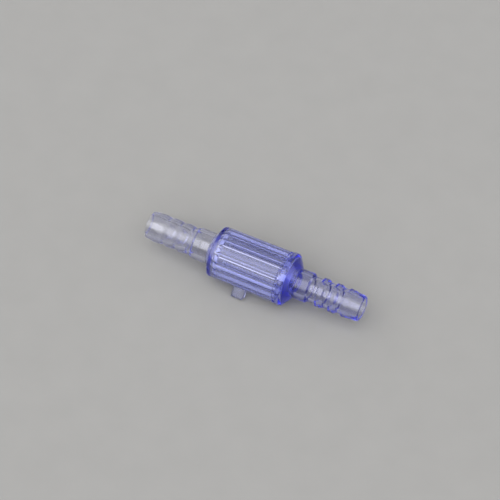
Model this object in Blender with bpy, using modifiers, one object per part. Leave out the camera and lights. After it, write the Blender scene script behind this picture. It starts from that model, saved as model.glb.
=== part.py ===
"""Inline check valve with a hose-barb spigot at each end, in clear plastic.

An outlet body and an inlet cap are joined round a cage of bars. The cage guides a hollow poppet,
which closes on a soft washer in the cap. Flow enters at +X, runs round the cage through channels in
the chamber's wall, and leaves at -X.

Units are metres and +Z is up. The flow axis is the X axis, and the origin is on it at mid-length.
The moulding stub points down and forward, so that its tip reaches as low as the cap's rim.
"""

import math

import bmesh
import bpy
from mathutils import Matrix

MM = 0.001
COLLECTION = "check_valve"
CUTTERS = "cutters"

# Driving dimensions.
SIDES = 48                        # facets round every turned piece
HALF_LENGTH = 34.8 * MM
BORE_RADIUS = 2.95 * MM           # fluid passage through both spigots
RIDGE_RADIUS = 4.45 * MM          # widest point of a barb, for 8 mm tube
CORNER = 0.25 * MM                # break on moulded edges
FIT = 0.1 * MM                    # gap left between neighbouring pieces

# Outlet body: spigot, sleeve, shoulder, barrel and tongue.
OUTLET_TIP_RADIUS = 4.05 * MM
OUTLET_ROOT_RADIUS = 4.16 * MM
OUTLET_RIDGE_PITCH = 4.1 * MM
OUTLET_FIRST_RIDGE = -31.6 * MM
OUTLET_RIDGES = 3
SLEEVE_START = -19.1 * MM
SLEEVE_RADIUS = 4.8 * MM
SLEEVE_BORE_RADIUS = 3.5 * MM
SHOULDER_START = -13.9 * MM
BARREL_START = -12.25 * MM
BARREL_START_RADIUS = 7.8 * MM    # the barrel widens by its mould's draft
BARREL_RADIUS = 7.95 * MM
BARREL_END = 9.2 * MM
CHAMBER_RADIUS = 5.85 * MM
CHAMBER_START = -10.9 * MM        # where the chamber's floor cone begins
CHAMBER_CONE = 2.0 * MM           # axial length of that cone
CHANNEL_COUNT = 18                # flow channels round the chamber's wall
FIRST_CHANNEL = math.radians(41)  # about X from +Z towards -Y, as for the bars
CHANNEL_RADIUS = 0.8 * MM
CHANNEL_DEPTH = 0.7 * MM
CHANNEL_START = -11.8 * MM      # past the chamber's floor, so that flow gets round the cage's ring
CHANNEL_END = 9.0 * MM
GROOVE_RADIUS = 7.75 * MM         # shallow groove between barrel and cap
CAP_START = 10.0 * MM
TONGUE_RADIUS = 6.75 * MM
TONGUE_END = 11.4 * MM

# Moulding stub on the barrel.
STUB_CENTRE = -2.15 * MM
STUB_WIDTH = 3.95 * MM
STUB_THICKNESS = 1.6 * MM
STUB_TIP_RADIUS = 11.0 * MM
STUB_CHAMFER = 0.6 * MM
STUB_ANGLE = math.radians(135)    # about X from +Z towards -Y: 45 degrees below the horizontal

# Inlet cap: rim, conical shoulder and spigot.
CAP_RADIUS = 8.2 * MM
CAP_CONE_START = 11.35 * MM
CAP_CONE_END = 13.95 * MM
CAP_FLOOR = 11.5 * MM
CAP_NOTCH = 0.8 * MM
INLET_NECK_RADIUS = 4.5 * MM
INLET_NECK_END = 18.05 * MM
INLET_ROOT_RADIUS = 3.87 * MM
INLET_RIDGE_PITCH = 4.25 * MM
INLET_FIRST_RIDGE = 21.3 * MM
INLET_RIDGES = 2
INLET_LAST_RADIUS = 4.42 * MM
INLET_TIP_RADIUS = 3.8 * MM

# Seat washer.
WASHER_THICKNESS = 0.5 * MM
WASHER_BORE_RADIUS = 3.0 * MM

# Guide cage.
BAR_COUNT = 9
FIRST_BAR = math.radians(36)      # about X from +Z towards -Y
BAR_THICKNESS = 1.1 * MM
BAR_INNER_RADIUS = 4.25 * MM
BAR_OUTER_RADIUS = 5.7 * MM
FOOT_RADIUS = 3.3 * MM            # the bars' feet reach in this far to stop the poppet
RING_START = -10.8 * MM
RING_END = -9.8 * MM

# Poppet, shown closed.
POPPET_RADIUS = 4.05 * MM
POPPET_BORE_RADIUS = 2.7 * MM
POPPET_TRAVEL = 2.0 * MM
NOSE_RADIUS = 4.6 * MM

CLEAR_VIOLET = (0.55, 0.56, 0.86, 1.0)
CLEAR = (0.80, 0.82, 0.92, 1.0)
SILICONE = (0.88, 0.89, 0.90, 1.0)


def clear_scene():
    """Removes every object, so that the script can be run again."""
    for obj in list(bpy.data.objects):
        bpy.data.objects.remove(obj, do_unlink=True)


def collection(name):
    """A collection of this name under the scene, made if it is missing."""
    found = bpy.data.collections.get(name) or bpy.data.collections.new(name)
    if name not in bpy.context.scene.collection.children:
        bpy.context.scene.collection.children.link(found)
    return found


def material(name, colour, roughness):
    """A plain plastic or rubber of one colour."""
    made = bpy.data.materials.new(name)
    made.use_nodes = True
    shader = made.node_tree.nodes["Principled BSDF"]
    shader.inputs["Base Color"].default_value = colour
    shader.inputs["Roughness"].default_value = roughness
    shader.inputs["Metallic"].default_value = 0.0
    return made


def add(name, mesh, finish=None):
    """Links a mesh as a part of the valve, or as a hidden helper if it has no finish."""
    obj = bpy.data.objects.new(name, mesh)
    if finish is None:
        collection(CUTTERS).objects.link(obj)
        obj.hide_render = True
        obj.display_type = "WIRE"
    else:
        collection(COLLECTION).objects.link(obj)
        mesh.materials.append(finish)
    return obj


def turned(name, profile, finish, closed=True):
    """A solid turned about X from (radius, x) points that run down its outer side, +X end first.

    The points are drawn in the object's own XZ plane and turned about its Z axis, which is then
    laid along X. A profile that is not closed starts and ends on the axis.
    """
    mesh = bpy.data.meshes.new(name)
    last = len(profile) if closed else len(profile) - 1
    edges = [(i, (i + 1) % len(profile)) for i in range(last)]
    mesh.from_pydata([(radius, 0.0, x) for radius, x in profile], edges, [])
    obj = add(name, mesh, finish)
    obj.rotation_euler = (0.0, math.pi / 2, 0.0)
    screw = obj.modifiers.new("turn", "SCREW")
    screw.axis = "Z"
    screw.angle = 2 * math.pi
    screw.steps = SIDES
    screw.render_steps = SIDES
    screw.use_merge_vertices = True
    screw.merge_threshold = 0.00001
    screw.use_smooth_shade = True
    return obj


def upright_plate(name, outline, thickness):
    """A mesh of an outline of (x, radius) points that stands up from the X axis along +Z."""
    curve = bpy.data.curves.new(name, "CURVE")
    curve.dimensions = "2D"
    curve.fill_mode = "BOTH"
    curve.extrude = thickness / 2
    spline = curve.splines.new("POLY")
    spline.points.add(len(outline) - 1)
    for point, (x, radius) in zip(spline.points, outline):
        point.co = (x, radius, 0.0, 1.0)
    spline.use_cyclic_u = True
    drawn = bpy.data.objects.new(name + "_outline", curve)
    bpy.context.scene.collection.objects.link(drawn)
    graph = bpy.context.evaluated_depsgraph_get()
    mesh = bpy.data.meshes.new_from_object(drawn.evaluated_get(graph))
    bpy.data.objects.remove(drawn, do_unlink=True)
    work = bmesh.new()
    work.from_mesh(mesh)
    bmesh.ops.remove_doubles(work, verts=work.verts, dist=0.000001)
    bmesh.ops.recalc_face_normals(work, faces=work.faces)
    work.to_mesh(mesh)
    work.free()
    mesh.transform(Matrix.Rotation(math.pi / 2, 4, "X"))
    return mesh


def boolean(obj, other, operation):
    """Joins or cuts obj by another mesh object."""
    step = obj.modifiers.new(operation.lower() + "_" + other.name, "BOOLEAN")
    step.operation = operation
    step.solver = "EXACT"
    step.object = other


def round_edges(obj, width):
    """Rounds every edge of a piece by this width."""
    step = obj.modifiers.new("edges", "BEVEL")
    step.width = width
    step.segments = 3


def arc(centre, radius, start, end, steps):
    """(radius, x) points on an arc about a point of the axis, by angle from the +X direction."""
    angles = [start + (end - start) * i / steps for i in range(steps + 1)]
    return [(radius * math.sin(a), centre + radius * math.cos(a)) for a in angles]


def outlet_barbs():
    """(radius, x) points of the outlet spigot's outer side, from the sleeve to the tip."""
    rise = 0.35 * MM
    points = [
        (SLEEVE_RADIUS, SLEEVE_START + rise),
        (RIDGE_RADIUS + 0.1 * MM, SLEEVE_START - rise),
    ]
    for i in reversed(range(OUTLET_RIDGES)):
        crest = OUTLET_FIRST_RIDGE + i * OUTLET_RIDGE_PITCH
        points += [
            (OUTLET_ROOT_RADIUS, crest + 0.58 * OUTLET_RIDGE_PITCH),
            (OUTLET_ROOT_RADIUS, crest + 0.32 * OUTLET_RIDGE_PITCH),
            (RIDGE_RADIUS, crest + 0.05 * OUTLET_RIDGE_PITCH),
            (RIDGE_RADIUS, crest - 0.22 * OUTLET_RIDGE_PITCH),
        ]
    points[-1] = (RIDGE_RADIUS - 0.08 * MM, OUTLET_FIRST_RIDGE - 0.2 * OUTLET_RIDGE_PITCH)
    points += [(OUTLET_TIP_RADIUS, CORNER - HALF_LENGTH), (OUTLET_TIP_RADIUS - CORNER, -HALF_LENGTH)]
    return points


def channel_rods():
    """A mesh of the rods, one for each flow channel, that lie just inside the chamber's wall."""
    rods = bpy.data.meshes.new("channel_rods")
    length = CHANNEL_END - CHANNEL_START
    middle = (CHANNEL_START + CHANNEL_END) / 2
    centre = CHAMBER_RADIUS + CHANNEL_DEPTH - CHANNEL_RADIUS
    lay = Matrix.Translation((middle, 0.0, centre)) @ Matrix.Rotation(math.pi / 2, 4, "Y")
    work = bmesh.new()
    for i in range(CHANNEL_COUNT):
        turn = Matrix.Rotation(FIRST_CHANNEL + 2 * math.pi * i / CHANNEL_COUNT, 4, "X")
        bmesh.ops.create_cone(
            work,
            cap_ends=True,
            segments=16,
            radius1=CHANNEL_RADIUS,
            radius2=CHANNEL_RADIUS,
            depth=length,
            matrix=turn @ lay,
        )
    work.to_mesh(rods)
    work.free()
    return rods


def make_outlet_body(finish):
    """Barrel with its conical shoulder, barbed outlet spigot, tongue, flow channels and moulding stub."""
    groove_end = CAP_START - FIT
    outer = [
        (TONGUE_RADIUS, TONGUE_END),
        (TONGUE_RADIUS, groove_end),
        (GROOVE_RADIUS, groove_end),
        (GROOVE_RADIUS, BARREL_END),
        (BARREL_RADIUS, BARREL_END),
        (BARREL_START_RADIUS, BARREL_START),
        (SLEEVE_RADIUS, SHOULDER_START),
    ]
    step = 0.3 * MM
    inner = [
        (BORE_RADIUS, -HALF_LENGTH),
        (BORE_RADIUS, SLEEVE_START - step),
        (SLEEVE_BORE_RADIUS, SLEEVE_START),
        (SLEEVE_BORE_RADIUS, CHAMBER_START - CHAMBER_CONE),
        (CHAMBER_RADIUS, CHAMBER_START),
        (CHAMBER_RADIUS, TONGUE_END),
    ]
    body = turned("outlet_body", outer + outlet_barbs() + inner, finish)
    root = (CHAMBER_RADIUS + BARREL_START_RADIUS) / 2
    half = STUB_WIDTH / 2
    outline = [
        (STUB_CENTRE + half, root),
        (STUB_CENTRE + half, STUB_TIP_RADIUS - 1.5 * STUB_CHAMFER),
        (STUB_CENTRE + half - STUB_CHAMFER, STUB_TIP_RADIUS),
        (STUB_CENTRE - half, STUB_TIP_RADIUS),
        (STUB_CENTRE - half, root),
    ]
    stub = add("moulding_stub", upright_plate("moulding_stub", outline, STUB_THICKNESS))
    stub.rotation_euler = (STUB_ANGLE, 0.0, 0.0)
    round_edges(stub, 0.35 * MM)
    boolean(body, stub, "UNION")
    boolean(body, add("channel_rods", channel_rods()), "DIFFERENCE")
    return body


def inlet_barbs():
    """(radius, x) points of the inlet spigot's outer side, from the tip back to the neck."""
    last = INLET_FIRST_RIDGE + INLET_RIDGES * INLET_RIDGE_PITCH
    back = 0.08 * INLET_RIDGE_PITCH
    points = [
        (INLET_TIP_RADIUS - CORNER, HALF_LENGTH),
        (INLET_TIP_RADIUS, HALF_LENGTH - CORNER),
        (INLET_LAST_RADIUS, last),
        (INLET_ROOT_RADIUS, last - 2 * back),
    ]
    for i in reversed(range(INLET_RIDGES)):
        ridge = INLET_FIRST_RIDGE + i * INLET_RIDGE_PITCH
        points += [
            (INLET_ROOT_RADIUS, ridge + 0.53 * INLET_RIDGE_PITCH),
            (RIDGE_RADIUS, ridge + 0.33 * INLET_RIDGE_PITCH),
            (RIDGE_RADIUS, ridge),
            (INLET_ROOT_RADIUS, ridge - back),
        ]
    fall = 0.55 * MM
    points += [(INLET_ROOT_RADIUS, INLET_NECK_END + fall), (INLET_NECK_RADIUS, INLET_NECK_END)]
    return points


def make_inlet_cap(finish):
    """Cap with a rim, a solid conical shoulder, a socket for the tongue and a barbed spigot."""
    outer = [
        (INLET_NECK_RADIUS, CAP_CONE_END),
        (CAP_RADIUS, CAP_CONE_START),
        (CAP_RADIUS, CAP_START + CORNER),
        (CAP_RADIUS - CORNER, CAP_START),
    ]
    socket = TONGUE_RADIUS + FIT
    inner = [
        (socket, CAP_START),
        (socket, CAP_FLOOR),
        (BORE_RADIUS + CORNER, CAP_FLOOR),
        (BORE_RADIUS, CAP_FLOOR + CORNER),
        (BORE_RADIUS, HALF_LENGTH),
    ]
    cap = turned("inlet_cap", inlet_barbs() + outer + inner, finish)
    reach = [CAP_RADIUS - 0.7 * CAP_NOTCH, CAP_RADIUS + CAP_NOTCH]
    outline = [
        (CAP_START - CAP_NOTCH, reach[1]),
        (CAP_START + CAP_NOTCH / 2, reach[1]),
        (CAP_START + CAP_NOTCH / 2, reach[0]),
        (CAP_START - CAP_NOTCH, reach[0]),
    ]
    notch = add("rim_notch", upright_plate("rim_notch", outline, 2 * CAP_NOTCH))
    notch.rotation_euler = (STUB_ANGLE, 0.0, 0.0)
    boolean(cap, notch, "DIFFERENCE")
    return cap


def seat_face():
    """The x of the washer's face that the nose closes on."""
    return CAP_FLOOR - FIT / 2 - WASHER_THICKNESS


def make_seat_washer(finish):
    """Soft flat washer on the cap's floor, held inside the bars' free ends."""
    start = seat_face()
    end = start + WASHER_THICKNESS
    rim = BAR_INNER_RADIUS - 1.5 * FIT
    return turned(
        "seat_washer",
        [(rim, end), (rim, start), (WASHER_BORE_RADIUS, start), (WASHER_BORE_RADIUS, end)],
        finish,
    )


def cage_bars():
    """A mesh of all the bars, each with a foot that turns in past the ring."""
    lap = 0.05 * MM                       # the bars overlap the ring's faces, so that the join is clean
    slope = (CHAMBER_RADIUS - SLEEVE_BORE_RADIUS) / CHAMBER_CONE
    foot_length = 0.85 * CHAMBER_CONE
    free_end = CAP_FLOOR - FIT
    outline = [
        (free_end, BAR_INNER_RADIUS - lap),
        (free_end, BAR_OUTER_RADIUS + lap),
        (CHAMBER_START, BAR_OUTER_RADIUS + lap),
        (CHAMBER_START - foot_length, BAR_OUTER_RADIUS - slope * foot_length),
        (CHAMBER_START - foot_length, FOOT_RADIUS),
        (CHAMBER_START, FOOT_RADIUS),
        (CHAMBER_START, BAR_INNER_RADIUS - lap),
    ]
    bar = upright_plate("bar", outline, BAR_THICKNESS)
    bars = bpy.data.meshes.new("cage_bars")
    work = bmesh.new()
    for i in range(BAR_COUNT):
        one = bar.copy()
        one.transform(Matrix.Rotation(FIRST_BAR + 2 * math.pi * i / BAR_COUNT, 4, "X"))
        work.from_mesh(one)
    work.to_mesh(bars)
    work.free()
    return bars


def make_guide_cage(finish):
    """Ring at the chamber's floor, whose bars guide the poppet and whose feet stop it at its open end."""
    ring = turned(
        "guide_cage",
        [
            (BAR_OUTER_RADIUS, RING_END),
            (BAR_OUTER_RADIUS, RING_START),
            (BAR_INNER_RADIUS, RING_START),
            (BAR_INNER_RADIUS, RING_END),
        ],
        finish,
    )
    boolean(ring, add("cage_bars", cage_bars()), "UNION")
    return ring


def make_poppet(finish):
    """Cup with a domed nose, open at its tail, shown closed on the washer."""
    seat = seat_face() - FIT
    centre = seat - math.sqrt(NOSE_RADIUS**2 - WASHER_BORE_RADIUS**2)
    nose = arc(centre, NOSE_RADIUS, 0.0, math.asin(POPPET_RADIUS / NOSE_RADIUS), 8)
    tail = CHAMBER_START + FIT + POPPET_TRAVEL
    wall = [
        (POPPET_RADIUS, tail + CORNER),
        (POPPET_RADIUS - CORNER, tail),
        (POPPET_BORE_RADIUS, tail),
    ]
    cavity_end = centre + POPPET_BORE_RADIUS
    cavity = arc(cavity_end - POPPET_BORE_RADIUS, POPPET_BORE_RADIUS, math.pi / 2, 0.0, 5)
    cavity[-1] = (0.0, cavity_end)
    return turned("poppet", nose + wall + cavity, finish, closed=False)


def main():
    clear_scene()
    body_plastic = material("clear_violet_plastic", CLEAR_VIOLET, 0.08)
    inner_plastic = material("clear_plastic", CLEAR, 0.12)
    silicone = material("clear_silicone", SILICONE, 0.4)
    make_outlet_body(body_plastic)
    make_inlet_cap(body_plastic)
    make_seat_washer(silicone)
    make_guide_cage(inner_plastic)
    make_poppet(inner_plastic)


main()
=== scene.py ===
"""Looks for an inline check valve: clear violet-blue mouldings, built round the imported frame.

Each CAD piece is replaced by a finer one of the same sizes, with moulded radii, because clear
plastic shows every facet of whatever lies behind it. Lengths are in millimetres until a mesh is made.
"""

import math

import bmesh
import bpy
from mathutils import Matrix, Vector


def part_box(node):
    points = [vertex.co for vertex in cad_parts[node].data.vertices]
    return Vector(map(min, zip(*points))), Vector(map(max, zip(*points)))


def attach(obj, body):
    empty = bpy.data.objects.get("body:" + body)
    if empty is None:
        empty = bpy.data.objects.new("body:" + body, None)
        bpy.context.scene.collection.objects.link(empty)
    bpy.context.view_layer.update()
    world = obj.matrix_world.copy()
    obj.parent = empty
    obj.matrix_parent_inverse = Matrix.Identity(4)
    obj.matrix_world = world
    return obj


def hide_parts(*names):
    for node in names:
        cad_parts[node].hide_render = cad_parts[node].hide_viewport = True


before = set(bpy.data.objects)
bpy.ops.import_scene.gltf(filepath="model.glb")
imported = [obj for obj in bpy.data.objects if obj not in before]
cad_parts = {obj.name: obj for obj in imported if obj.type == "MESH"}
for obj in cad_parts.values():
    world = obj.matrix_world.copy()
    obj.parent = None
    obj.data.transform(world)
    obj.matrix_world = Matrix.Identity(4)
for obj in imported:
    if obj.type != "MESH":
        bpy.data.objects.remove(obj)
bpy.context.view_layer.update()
MM = 0.001

# Places read from the frame, in millimetres.
BODY_LOW, BODY_HIGH = (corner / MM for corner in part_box("outlet_body"))
CAP_LOW, CAP_HIGH = (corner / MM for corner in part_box("inlet_cap"))
CAGE_LOW, CAGE_HIGH = (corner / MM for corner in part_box("guide_cage"))
POPPET_LOW, POPPET_HIGH = (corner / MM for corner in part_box("poppet"))
WASHER_LOW, WASHER_HIGH = (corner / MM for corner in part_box("seat_washer"))

# Fineness of the shapes.
SIDES = 360                       # facets round a turned piece
ARC_STEPS = 5                     # facets round a small corner
CONE_STEP = 0.2                   # between the rings of the chamber's cone
CONE_RINGS = range(3, 9)          # which leaves room for the rounded corners at the cone's ends
WALL_STEPS = 96                   # rings along the chamber's wall
NOSE_STEPS = 16
CAVITY_STEPS = 12
BAR_SIDES = 32

# Spigots.
BORE = 2.95
RIDGE = 4.45
OUTLET_ROOT = 4.0
OUTLET_PITCH = 4.05
OUTLET_FIRST_VALLEY = -29.05
OUTLET_RIDGES = 3
INLET_ROOT = 3.87
INLET_PITCH = 4.25
INLET_FIRST_RIDGE = 21.3
INLET_RIDGES = 2
INLET_NECK = 4.5
INLET_NECK_END = 18.05

# Barrel.
SLEEVE_START = -19.1
SLEEVE = 4.8
SLEEVE_BORE = 3.5
SHOULDER_START = -13.9
BARREL_START = -12.25
BARREL_LEFT = 7.8
BARREL = 7.95
BARREL_END = 9.2
GROOVE = 7.5
CHAMBER = 5.85
CHAMBER_START = -10.9
CHAMBER_CONE = 2.0
CHAMBER_SLOPE = (CHAMBER - SLEEVE_BORE) / CHAMBER_CONE
TONGUE = 6.75

# Cap.
CAP_CONE_START = 11.35
CAP_CONE_END = 13.95
CAP_FLOOR = 11.5
NOTCH = 0.8

# Moulding stub. Its angle is about X from +Z towards -Y, as all angles round the axis are.
STUB_CENTRE = -2.15
STUB_WIDTH = 3.95
STUB_THICKNESS = 1.6
STUB_TIP = 10.97
STUB_ANGLE = math.radians(135)

# Flow channels in the chamber's wall.
FLUTES = 18
FIRST_FLUTE = math.radians(41)
FLUTE_DEPTH = 0.655
FLUTE_START = -11.8
FLUTE_SCOOP = 2.0                 # length of their rounded ends in the chamber's floor
FLUTE_STEP = 0.9                  # how far in they start there
FLUTE_END = 9.5
FLUTE_RUN = 0.4                   # length of their rounded ends by the cap

# Cage and poppet.
BAR_COUNT = 9
FIRST_BAR = math.radians(36)
BAR_TURNS = [FIRST_BAR + 2 * math.pi * i / BAR_COUNT for i in range(BAR_COUNT)]
BAR_THICKNESS = 0.95
BAR_SQUARE = 0.6                  # 1 makes the bars' section an ellipse, and 0 a rectangle
BAR_INNER = 4.25
BAR_OUTER = 5.7
FOOT = 3.3
RING_START = -10.8
RING_END = -9.8
HOOK_START = 10.05
HOOK_TOP = 6.2
HOOK_WIDTH = 2.1
HOOK_GAP = 0.1
POPPET_BORE = 2.7
NOSE = 4.6
WASHER_BORE = 3.0

# Plastics. What each colour loses per millimetre of material, and colours from thin to solid material:
# painted shade, darker and more violet where the plastic is thick.
BODY_LOSS = (0.08, 0.075, 0.012)
CAP_LOSS = (0.16, 0.15, 0.015)
INNER_LOSS = (0.05, 0.05, 0.02)
SILICONE_LOSS = (0.05, 0.05, 0.04)
THIN = (1.0, 1.0, 1.0)
# Painted shade: the same plastic drawn darker and more violet for the thick barrel, the rim and the solid
# cone.
THICK_SHADE = (0.71, 0.735, 0.94)
RIM_SHADE = (0.66, 0.69, 0.94)
SOLID_SHADE = (0.36, 0.41, 1.0)

# Colours along the X axis, as (place, colour). The body's and cap's are painted shade, darker where the
# moulding is thick.
BODY_SHADE_ALONG = [(-20, THIN), (-14, THIN), (-11, THICK_SHADE), (12, THICK_SHADE)]
CAP_SHADE_ALONG = [(9, RIM_SHADE), (11, RIM_SHADE), (12, SOLID_SHADE), (13.3, SOLID_SHADE), (14.5, THIN), (30, THIN)]
INNER_COLOURS = [(-13, THIN), (12, THIN)]

# Inner faces that the mould leaves matt, as (roughness, low x, high x, radius that they lie within).
BODY_MATT = [
    (0.4, CHAMBER_START - CHAMBER_CONE - 0.1, CHAMBER_START + 0.6, CHAMBER + 0.1),
    (0.15, BODY_LOW.x - 0.2, SLEEVE_START - 0.1, BORE + 0.15),
]
CAP_MATT = [
    (0.4, CAP_FLOOR - 0.2, CAP_FLOOR + 0.2, TONGUE + 0.2),
    (0.08, CAP_CONE_END + 0.55, CAP_HIGH.x + 0.2, BORE + 0.15),
]

PLASTIC_IOR = 1.53
SILICONE_IOR = 1.41
CAGE_CLEARNESS = 0.05             # so the bars are milky
RIPPLE = 0.0008                   # height of the slow ripples in a moulded surface
RIPPLE_GRAIN = 0.45               # ripples per millimetre, which are drawn out along the axis
RIPPLE_STRETCH = (3, 1, 1)
FINE_HEIGHT = RIPPLE / 40
FINE_GRAIN = 6

# Camera. Azimuth 0 is at -Y and 90 at +X, and the distance is in metres.
CAMERA_AZIMUTH, CAMERA_ELEVATION = 26.5, 53.3
CAMERA_DISTANCE = 0.72
LENS = 176
SENSOR = 36
SHIFT_X, SHIFT_Y = -0.01045, 0.0321

# Light. Each light of the room has an azimuth, an elevation, two angles from there and a brightness. It is
# full out to the first angle and ends at the second. The last one's angles run the other way, which makes it
# a band round the horizon.
DIM = 0.05                        # from everywhere
LIGHTS = [
    (0, 90, 45, 75, 0.37),
    (0, 56, 30, 48, 2.9),
    (90, 15, 15, 55, 1.5),
    (270, 15, 15, 55, 1.5),
    (0, 90, 88, 74, 0.45),
]
WARM = (1.0, 0.99, 0.97)           # colour of all the light
BOUNCES = 32

# Floor. Its size and its gap under the part are in metres.
FLOOR_RADIUS = 4.0
FLOOR_GAP = 0.0001
FLOOR_SHADE = 0.24
FLOOR_ROUGHNESS = 0.7


# Shapes.


def filleted(corners):
    """(x, radius) points of an outline of (x, radius, round) corners, each rounded by about that much."""
    points = []
    for i, (x, y, size) in enumerate(corners):
        here = Vector((x, y))
        if size <= 0:
            points.append(here)
            continue
        before = Vector(corners[i - 1][:2]) - here
        after = Vector(corners[(i + 1) % len(corners)][:2]) - here
        reach = min(size, 0.48 * before.length, 0.48 * after.length)
        start = here + before.normalized() * reach
        end = here + after.normalized() * reach
        for k in range(ARC_STEPS + 1):
            t = k / ARC_STEPS
            points.append((1 - t) ** 2 * start + 2 * t * (1 - t) * here + t**2 * end)
    return points


def new_piece(name, data):
    """An object of this mesh or camera, linked to the scene."""
    piece = bpy.data.objects.new(name, data)
    bpy.context.scene.collection.objects.link(piece)
    return piece


def built(name, work):
    """The piece that a bmesh holds, which is freed."""
    mesh = bpy.data.meshes.new(name)
    work.to_mesh(mesh)
    work.free()
    return new_piece(name, mesh)


def smooth(piece, angle=35):
    """Shades a piece smooth, apart from edges sharper than the angle."""
    piece.data.shade_smooth()
    piece.data.set_sharp_from_angle(angle=math.radians(angle))


def arc(centre, radius, start, end, steps):
    """Corners on an arc about a point of the X axis, by angle from the +X direction."""
    angles = [start + (end - start) * k / steps for k in range(steps + 1)]
    return [(centre + radius * math.cos(a), radius * math.sin(a), 0) for a in angles]


def turned(name, corners, closed=True):
    """A piece turned about the X axis from rounded corners that run down its outer side, inlet end first."""
    turns = [2 * math.pi * k / SIDES for k in range(SIDES)]
    work = bmesh.new()
    rings = []
    for point in filleted(corners):
        x, radius = point.x * MM, point.y * MM
        if radius < 1e-9:
            rings.append([work.verts.new((x, 0, 0))] * SIDES)
            continue
        rings.append([work.verts.new((x, radius * math.cos(a), radius * math.sin(a))) for a in turns])
    last = len(rings) if closed else len(rings) - 1
    for i in range(last):
        here, there = rings[i], rings[(i + 1) % len(rings)]
        for k in range(SIDES):
            m = (k + 1) % SIDES
            work.faces.new(list(dict.fromkeys([here[k], there[k], there[m], here[m]])))
    bmesh.ops.recalc_face_normals(work, faces=work.faces)
    return built(name, work)


def plate(name, corners, thickness, turn, bevel):
    """A flat plate of rounded (x, radius) corners standing up from the X axis, turned about it."""
    work = bmesh.new()
    half = thickness / 2
    outline = filleted(corners)
    face = work.faces.new([work.verts.new((p.x * MM, -half * MM, p.y * MM)) for p in outline])
    grown = bmesh.ops.extrude_face_region(work, geom=[face])
    moved = [v for v in grown["geom"] if isinstance(v, bmesh.types.BMVert)]
    bmesh.ops.translate(work, vec=(0, thickness * MM, 0), verts=moved)
    bmesh.ops.recalc_face_normals(work, faces=work.faces)
    rims = [e for e in work.edges if len({round(v.co.y, 9) for v in e.verts}) == 1]
    bmesh.ops.bevel(work, geom=rims, offset=bevel * MM, segments=3, profile=0.5, affect="EDGES")
    bmesh.ops.transform(work, matrix=Matrix.Rotation(turn, 4, "X"), verts=work.verts)
    return built(name, work)


def combine(piece, others, operation):
    """Joins or cuts a piece by others, which are then removed."""
    for other in others:
        step = piece.modifiers.new("combine", "BOOLEAN")
        step.operation = operation
        step.solver = "EXACT"
        step.object = other
    graph = bpy.context.evaluated_depsgraph_get()
    mesh = bpy.data.meshes.new_from_object(piece.evaluated_get(graph))
    piece.modifiers.clear()
    piece.data = mesh
    for other in others:
        bpy.data.objects.remove(other, do_unlink=True)


def joined(name, pieces):
    """One mesh object of several that don't touch."""
    work = bmesh.new()
    for piece in pieces:
        work.from_mesh(piece.data)
        bpy.data.objects.remove(piece, do_unlink=True)
    return built(name, work)


# Pieces.


def outlet_barbs():
    """Corners of the outlet spigot's outer side, from the sleeve to the tip."""
    corners = [
        (SLEEVE_START + 0.35, SLEEVE, 0.35),
        (SLEEVE_START - 0.35, RIDGE + 0.1, 0.35),
    ]
    for i in reversed(range(OUTLET_RIDGES)):
        valley = OUTLET_FIRST_VALLEY + i * OUTLET_PITCH
        corners += [
            (valley, OUTLET_ROOT, 0.05),
            (valley - 0.04 * OUTLET_PITCH, OUTLET_ROOT + 0.12, 0.08),
            (valley - 0.37 * OUTLET_PITCH, RIDGE, 0.3),
            (valley - 0.67 * OUTLET_PITCH, RIDGE, 0.3),
        ]
    return corners + [(BODY_LOW.x, 4.05, 0.4)]


def cut_flutes(body):
    """Hollows the chamber's wall into flow channels, which run out into its floor."""
    for vert in body.data.vertices:
        x, y, z = vert.co / MM
        radius = math.hypot(y, z)
        if not FLUTE_START < x < FLUTE_END or not SLEEVE_BORE < radius < CHAMBER + 0.01:
            continue
        left = min((x - FLUTE_START) / FLUTE_SCOOP, 1)
        right = min((FLUTE_END - x) / FLUTE_RUN, 1)
        share = math.sqrt(1 - (1 - left) ** 2) * math.sqrt(1 - (1 - right) ** 2)
        turn = math.atan2(-y, z) - FIRST_FLUTE
        wave = 0.5 + 0.5 * math.cos(FLUTES * turn)
        base = CHAMBER - FLUTE_STEP * (1 - left)
        grown = max(base + FLUTE_DEPTH * share * wave, radius) / radius
        vert.co.y *= grown
        vert.co.z *= grown


def chamber_wall():
    """Corners of the chamber's cone and wall, in rings close enough together to cut the flutes in."""
    cone_start = CHAMBER_START - CHAMBER_CONE
    corners = [(cone_start, SLEEVE_BORE, 0.4)]
    for k in CONE_RINGS:
        along = k * CONE_STEP
        corners.append((cone_start + along, SLEEVE_BORE + CHAMBER_SLOPE * along, 0))
    corners.append((CHAMBER_START, CHAMBER, 0.3))
    wall_start = CHAMBER_START + 0.3
    for k in range(WALL_STEPS + 1):
        corners.append((wall_start + (FLUTE_END - wall_start) * k / WALL_STEPS, CHAMBER, 0))
    return corners


def make_stub():
    """The stub that the moulding leaves on the barrel, from inside the wall to its tip."""
    half = STUB_WIDTH / 2
    root = (CHAMBER + BARREL_LEFT) / 2
    corners = [
        (STUB_CENTRE + half, root, 0),
        (STUB_CENTRE + half, STUB_TIP - 0.9, 0.25),
        (STUB_CENTRE + half - 0.6, STUB_TIP, 0.25),
        (STUB_CENTRE - half, STUB_TIP, 0.3),
        (STUB_CENTRE - half, root, 0),
    ]
    return plate("stub", corners, STUB_THICKNESS, STUB_ANGLE, 0.3)


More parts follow.
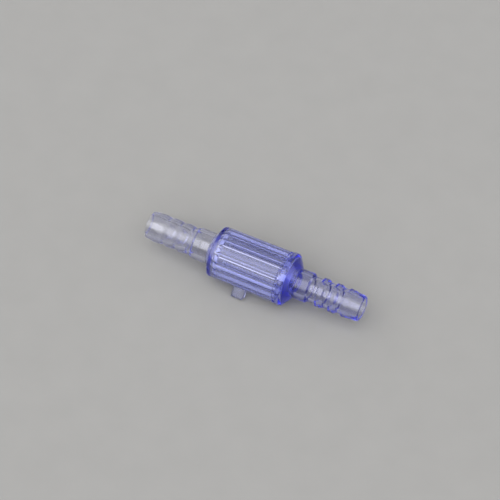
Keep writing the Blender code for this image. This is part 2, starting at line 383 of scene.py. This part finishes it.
def make_outlet_body():
    """Barrel, shoulder, sleeve and outlet spigot, with the stub, the flow channels and the hooks' slots."""
    cap_start = CAP_LOW.x
    tongue_end = BODY_HIGH.x
    corners = [
        (tongue_end, TONGUE, 0.15),
        (cap_start - 0.1, TONGUE, 0.1),
        (cap_start - 0.1, GROOVE, 0.08),
        (BARREL_END, GROOVE, 0.08),
        (BARREL_END, BARREL, 0.15),
        (BARREL_START, BARREL_LEFT, 0.35),
        (SHOULDER_START, SLEEVE, 0.25),
    ]
    corners += outlet_barbs()
    corners += [
        (BODY_LOW.x, BORE, 0.15),
        (SLEEVE_START - 0.3, BORE, 0.1),
        (SLEEVE_START, SLEEVE_BORE, 0.1),
    ]
    corners += chamber_wall()
    corners += [(tongue_end, CHAMBER, 0.1)]
    body = turned("outlet_moulding", corners)
    cut_flutes(body)
    combine(body, [make_stub()], "UNION")
    along = (HOOK_START - HOOK_GAP, tongue_end + 0.5)
    slots = hooks("slots", along, (CHAMBER - 0.6, TONGUE + 0.4), HOOK_WIDTH + 2 * HOOK_GAP, 0.02)
    combine(body, [slots], "DIFFERENCE")
    return body


def inlet_barbs():
    """Corners of the inlet spigot's outer side, from the tip back to the neck."""
    last = INLET_FIRST_RIDGE + INLET_RIDGES * INLET_PITCH
    back = 0.08 * INLET_PITCH
    corners = [
        (CAP_HIGH.x, 3.8, 0.3),
        (last, 4.42, 0.2),
        (last - 2 * back, INLET_ROOT, 0.2),
    ]
    for i in reversed(range(INLET_RIDGES)):
        ridge = INLET_FIRST_RIDGE + i * INLET_PITCH
        corners += [
            (ridge + 0.53 * INLET_PITCH, INLET_ROOT, 0.3),
            (ridge + 0.33 * INLET_PITCH, RIDGE, 0.25),
            (ridge, RIDGE, 0.2),
            (ridge - back, INLET_ROOT, 0.15),
        ]
    return corners + [(INLET_NECK_END + 0.55, INLET_ROOT, 0.2), (INLET_NECK_END, INLET_NECK, 0.2)]


def make_inlet_cap():
    """Rim, conical shoulder and inlet spigot, with a socket for the tongue and a notch above the stub."""
    start, rim = CAP_LOW.x, CAP_HIGH.z
    socket = TONGUE + 0.1
    corners = inlet_barbs()
    corners += [
        (CAP_CONE_END, INLET_NECK, 0.3),
        (CAP_CONE_START, rim, 0.4),
        (start, rim, 0.25),
        (start, socket, 0.1),
        (CAP_FLOOR, socket, 0.1),
        (CAP_FLOOR, BORE, 0.25),
        (CAP_HIGH.x, BORE, 0.15),
    ]
    cap = turned("inlet_moulding", corners)
    notch_corners = [
        (start + NOTCH / 2, rim - 0.7 * NOTCH, 0.1),
        (start + NOTCH / 2, rim + NOTCH, 0),
        (start - NOTCH, rim + NOTCH, 0),
        (start - NOTCH, rim - 0.7 * NOTCH, 0),
    ]
    notch = plate("notch", notch_corners, STUB_THICKNESS, STUB_ANGLE, 0.05)
    combine(cap, [notch], "DIFFERENCE")
    return cap


def squared(wave):
    """A sine or cosine pushed out towards the outline of a rectangle."""
    return math.copysign(abs(wave) ** BAR_SQUARE, wave)


def bar(stations, width, turn):
    """A rounded bar along the X axis through (x, inner radius, outer radius, share of width) stations."""
    work = bmesh.new()
    rings = []
    for x, low, high, share in stations:
        ring = []
        for k in range(BAR_SIDES):
            a = 2 * math.pi * k / BAR_SIDES
            across = squared(math.sin(a)) * share * width / 2
            up = (low + high) / 2 + squared(math.cos(a)) * (high - low) / 2
            ring.append(work.verts.new((x * MM, across * MM, up * MM)))
        rings.append(ring)
    for here, there in zip(rings, rings[1:]):
        for k in range(BAR_SIDES):
            m = (k + 1) % BAR_SIDES
            work.faces.new([here[k], there[k], there[m], here[m]])
    work.faces.new(rings[0])
    work.faces.new(rings[-1])
    bmesh.ops.recalc_face_normals(work, faces=work.faces)
    bmesh.ops.transform(work, matrix=Matrix.Rotation(turn, 4, "X"), verts=work.verts)
    return built("bar", work)


def hooks(name, along, radii, width, bevel):
    """One block for each bar's free end, between two places along the X axis and two radii."""
    start, end = along
    low, high = radii
    corners = [(end, low, 0), (end, high, 0.1), (start, high, 0.1), (start, low, 0)]
    return joined(name, [plate("hook", corners, width, turn, bevel) for turn in BAR_TURNS])


def make_cage():
    """The ring at the chamber's floor with its bars, whose feet turn in and whose free ends are hooked."""
    foot = CAGE_LOW.x
    foot_top = BAR_OUTER - CHAMBER_SLOPE * (CHAMBER_START - foot)
    free_end = CAGE_HIGH.x
    low, high = BAR_INNER - 0.05, BAR_OUTER + 0.05
    stations = [
        (foot, FOOT + 0.1, foot_top - 0.1, 0.7),
        (foot + 0.1, FOOT, foot_top + 0.1, 1),
        (CHAMBER_START - 0.1, FOOT, high - 0.12, 1),
        (CHAMBER_START + 0.15, low, high, 1),
        (free_end - 0.12, low, high, 1),
        (free_end, low + 0.12, high - 0.12, 0.8),
    ]
    bars = joined("bars", [bar(stations, BAR_THICKNESS, turn) for turn in BAR_TURNS])
    ends = hooks("ends", (HOOK_START, free_end - 0.02), (BAR_INNER + 0.4, HOOK_TOP), HOOK_WIDTH, 0.08)
    corners = [
        (RING_END, BAR_OUTER, 0.1),
        (RING_START, BAR_OUTER, 0.1),
        (RING_START, BAR_INNER, 0.1),
        (RING_END, BAR_INNER, 0.1),
    ]
    cage = turned("cage_moulding", corners)
    combine(cage, [bars, ends], "UNION")
    return cage


def make_poppet():
    """Cup with a domed nose, open at its tail."""
    radius, tail = POPPET_HIGH.z, POPPET_LOW.x
    centre = POPPET_HIGH.x - NOSE
    nose = arc(centre, NOSE, 0, math.asin(radius / NOSE), NOSE_STEPS)
    cavity = arc(centre, POPPET_BORE, math.pi / 2, 0, CAVITY_STEPS)
    corners = nose + [(tail, radius, 0.25), (tail, POPPET_BORE, 0.15)] + cavity
    return turned("poppet_moulding", corners, closed=False)


def make_washer():
    """Soft flat washer on the cap's floor."""
    start, end, rim = WASHER_LOW.x, WASHER_HIGH.x, WASHER_HIGH.z
    corners = [(end, rim, 0.12), (start, rim, 0.12), (start, WASHER_BORE, 0.12), (end, WASHER_BORE, 0.12)]
    return turned("silicone_washer", corners)


# Materials.


def node_value(tree, operation, *inputs):
    """The output of a math node on these inputs, each a number or another node's output."""
    node = tree.nodes.new("ShaderNodeMath")
    node.operation = operation
    for socket, value in zip(node.inputs, inputs):
        if isinstance(value, bpy.types.NodeSocket):
            tree.links.new(value, socket)
        else:
            socket.default_value = value
    return node.outputs[0]


def stretched_noise(tree, place, grain, detail, stretch=(1, 1, 1)):
    """Noise with this many grains per millimetre, drawn out along the axes by stretch."""
    mapping = tree.nodes.new("ShaderNodeMapping")
    mapping.inputs["Scale"].default_value = [grain / MM / s for s in stretch]
    tree.links.new(place, mapping.inputs["Vector"])
    noise = tree.nodes.new("ShaderNodeTexNoise")
    noise.inputs["Scale"].default_value = 1
    noise.inputs["Detail"].default_value = detail
    tree.links.new(mapping.outputs[0], noise.inputs["Vector"])
    return noise.outputs["Fac"]


def matt_mask(tree, axes, low, high, radius):
    """1 on the faces within the radius of the X axis and between two places along it, in millimetres."""
    across = node_value(tree, "POWER", axes[1], 2)
    up = node_value(tree, "POWER", axes[2], 2)
    inside = node_value(tree, "LESS_THAN", node_value(tree, "ADD", across, up), (radius * MM) ** 2)
    right = node_value(tree, "GREATER_THAN", axes[0], low * MM)
    left = node_value(tree, "LESS_THAN", axes[0], high * MM)
    return node_value(tree, "MULTIPLY", node_value(tree, "MULTIPLY", inside, right), left)


def colour_along(tree, x, stops, noise):
    """Colour by the place along the X axis, from (place in millimetres, colour) stops that carry painted
    shade, a little uneven.
    """
    first, last = stops[0][0], stops[-1][0]
    scale = tree.nodes.new("ShaderNodeMapRange")
    scale.inputs["From Min"].default_value = first * MM
    scale.inputs["From Max"].default_value = last * MM
    tree.links.new(x, scale.inputs["Value"])
    ramp = tree.nodes.new("ShaderNodeValToRGB")
    tree.links.new(scale.outputs[0], ramp.inputs[0])
    elements = ramp.color_ramp.elements
    while len(elements) < len(stops):
        elements.new(0.5)
    for element, (place, _) in zip(elements, stops):
        element.position = (place - first) / (last - first)
    for element, (_, colour) in zip(elements, stops):
        element.color = (*colour, 1)
    uneven = tree.nodes.new("ShaderNodeHueSaturation")
    tree.links.new(ramp.outputs[0], uneven.inputs["Color"])
    tree.links.new(node_value(tree, "MULTIPLY_ADD", noise, 0.5, 0.75), uneven.inputs["Saturation"])
    return uneven.outputs[0]


def clear_plastic(name, loss, colours, polished=0.03, matt=(), ior=PLASTIC_IOR, clearness=1.0):
    """Clear moulded plastic. polished is its roughness where it isn't matt."""
    made = bpy.data.materials.new(name)
    made.use_nodes = True
    tree = made.node_tree
    shader = tree.nodes["Principled BSDF"]
    shader.inputs["Transmission Weight"].default_value = clearness
    shader.inputs["IOR"].default_value = ior
    place = tree.nodes.new("ShaderNodeTexCoord").outputs["Object"]
    split = tree.nodes.new("ShaderNodeSeparateXYZ")
    tree.links.new(place, split.inputs[0])
    axes = split.outputs
    slow = stretched_noise(tree, place, RIPPLE_GRAIN, 1, RIPPLE_STRETCH)
    fine = stretched_noise(tree, place, FINE_GRAIN, 3)

    # Base colour: painted shade along the axis, darker and more violet where the plastic is thick, with
    # random unevenness.
    tree.links.new(colour_along(tree, axes[0], colours, slow), shader.inputs["Base Color"])

    roughness = node_value(tree, "MULTIPLY_ADD", fine, polished, polished / 2)
    for amount, low, high, radius in matt:
        mask = matt_mask(tree, axes, low, high, radius)
        roughness = node_value(tree, "MULTIPLY_ADD", mask, amount - polished, roughness)
    tree.links.new(roughness, shader.inputs["Roughness"])

    ripple = tree.nodes.new("ShaderNodeBump")
    ripple.inputs["Distance"].default_value = RIPPLE * MM
    tree.links.new(slow, ripple.inputs["Height"])
    grain = tree.nodes.new("ShaderNodeBump")
    grain.inputs["Distance"].default_value = FINE_HEIGHT * MM
    tree.links.new(fine, grain.inputs["Height"])
    tree.links.new(ripple.outputs[0], grain.inputs["Normal"])
    tree.links.new(grain.outputs[0], shader.inputs["Normal"])

    volume = tree.nodes.new("ShaderNodeVolumeAbsorption")
    volume.inputs["Color"].default_value = (*[1 - part / max(loss) for part in loss], 1)
    volume.inputs["Density"].default_value = max(loss) / MM
    tree.links.new(volume.outputs[0], tree.nodes["Material Output"].inputs["Volume"])
    return made


def finish_piece(piece, material, node, body):
    """Gives a piece its material and puts it in the place of its CAD node, on its body."""
    smooth(piece)
    piece.data.materials.clear()
    piece.data.materials.append(material)
    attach(piece, body)
    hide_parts(node)


BODY = clear_plastic("body_plastic", BODY_LOSS, BODY_SHADE_ALONG, matt=BODY_MATT)
CAP = clear_plastic("cap_plastic", CAP_LOSS, CAP_SHADE_ALONG, matt=CAP_MATT)
CAGE = clear_plastic("cage_plastic", INNER_LOSS, INNER_COLOURS, 0.02, clearness=CAGE_CLEARNESS)
POPPET = clear_plastic("poppet_plastic", INNER_LOSS, INNER_COLOURS)
SILICONE = clear_plastic("silicone", SILICONE_LOSS, INNER_COLOURS, 0.3, ior=SILICONE_IOR)

finish_piece(make_outlet_body(), BODY, "outlet_body", "housing")
finish_piece(make_inlet_cap(), CAP, "inlet_cap", "housing")
finish_piece(make_cage(), CAGE, "guide_cage", "housing")
finish_piece(make_washer(), SILICONE, "seat_washer", "housing")
finish_piece(make_poppet(), POPPET, "poppet", "poppet")


# Stage.


def make_floor():
    """A pale matt floor just under the lowest point of the part."""
    work = bmesh.new()
    bmesh.ops.create_circle(work, cap_ends=True, segments=96, radius=FLOOR_RADIUS)
    floor = built("floor", work)
    floor.location.z = CAP_LOW.z * MM - FLOOR_GAP
    made = bpy.data.materials.new("floor_paint")
    made.use_nodes = True
    tree = made.node_tree
    shader = tree.nodes["Principled BSDF"]
    place = tree.nodes.new("ShaderNodeTexCoord").outputs["Object"]
    paint = node_value(tree, "MULTIPLY_ADD", stretched_noise(tree, place, 0.1, 4), 0.02, FLOOR_SHADE - 0.01)
    tree.links.new(paint, shader.inputs["Base Color"])
    shader.inputs["Roughness"].default_value = FLOOR_ROUGHNESS
    floor.data.materials.append(made)


def direction(azimuth, elevation):
    """Unit vector from the part towards a viewer. Azimuth 0 is at -Y and 90 at +X."""
    a, e = math.radians(azimuth), math.radians(elevation)
    return Vector((math.sin(a) * math.cos(e), -math.cos(a) * math.cos(e), math.sin(e)))


def glow(tree, place, azimuth, elevation, full, end, brightness):
    """Light from round one direction of the room, fading out between two angles from it."""
    dot = tree.nodes.new("ShaderNodeVectorMath")
    dot.operation = "DOT_PRODUCT"
    tree.links.new(place, dot.inputs[0])
    dot.inputs[1].default_value = direction(azimuth, elevation)
    edge = tree.nodes.new("ShaderNodeMapRange")
    edge.interpolation_type = "SMOOTHSTEP"
    edge.inputs["From Min"].default_value = math.cos(math.radians(end))
    edge.inputs["From Max"].default_value = math.cos(math.radians(full))
    edge.inputs["To Max"].default_value = brightness
    tree.links.new(dot.outputs["Value"], edge.inputs["Value"])
    return edge.outputs[0]


def make_world():
    """A dim room with soft lights."""
    world = bpy.data.worlds.new("studio")
    world.use_nodes = True
    tree = world.node_tree
    place = tree.nodes.new("ShaderNodeTexCoord").outputs["Generated"]
    light = DIM
    for values in LIGHTS:
        light = node_value(tree, "ADD", glow(tree, place, *values), light)
    back = tree.nodes["Background"]
    back.inputs["Color"].default_value = (*WARM, 1)
    tree.links.new(light, back.inputs["Strength"])
    bpy.context.scene.world = world


def make_camera():
    """A long lens, looking at the origin."""
    lens = bpy.data.cameras.new("camera")
    lens.lens = LENS
    lens.sensor_width = SENSOR
    lens.clip_start = 0.01
    lens.shift_x = SHIFT_X
    lens.shift_y = SHIFT_Y
    camera = new_piece("camera", lens)
    towards = direction(CAMERA_AZIMUTH, CAMERA_ELEVATION)
    camera.location = towards * CAMERA_DISTANCE
    camera.rotation_euler = (-towards).to_track_quat("-Z", "Y").to_euler()
    bpy.context.scene.camera = camera


make_floor()
make_world()
make_camera()
bpy.context.scene.view_settings.view_transform = "Standard"
bpy.context.scene.cycles.max_bounces = BOUNCES
bpy.context.scene.cycles.transmission_bounces = BOUNCES
bpy.context.scene.cycles.glossy_bounces = BOUNCES
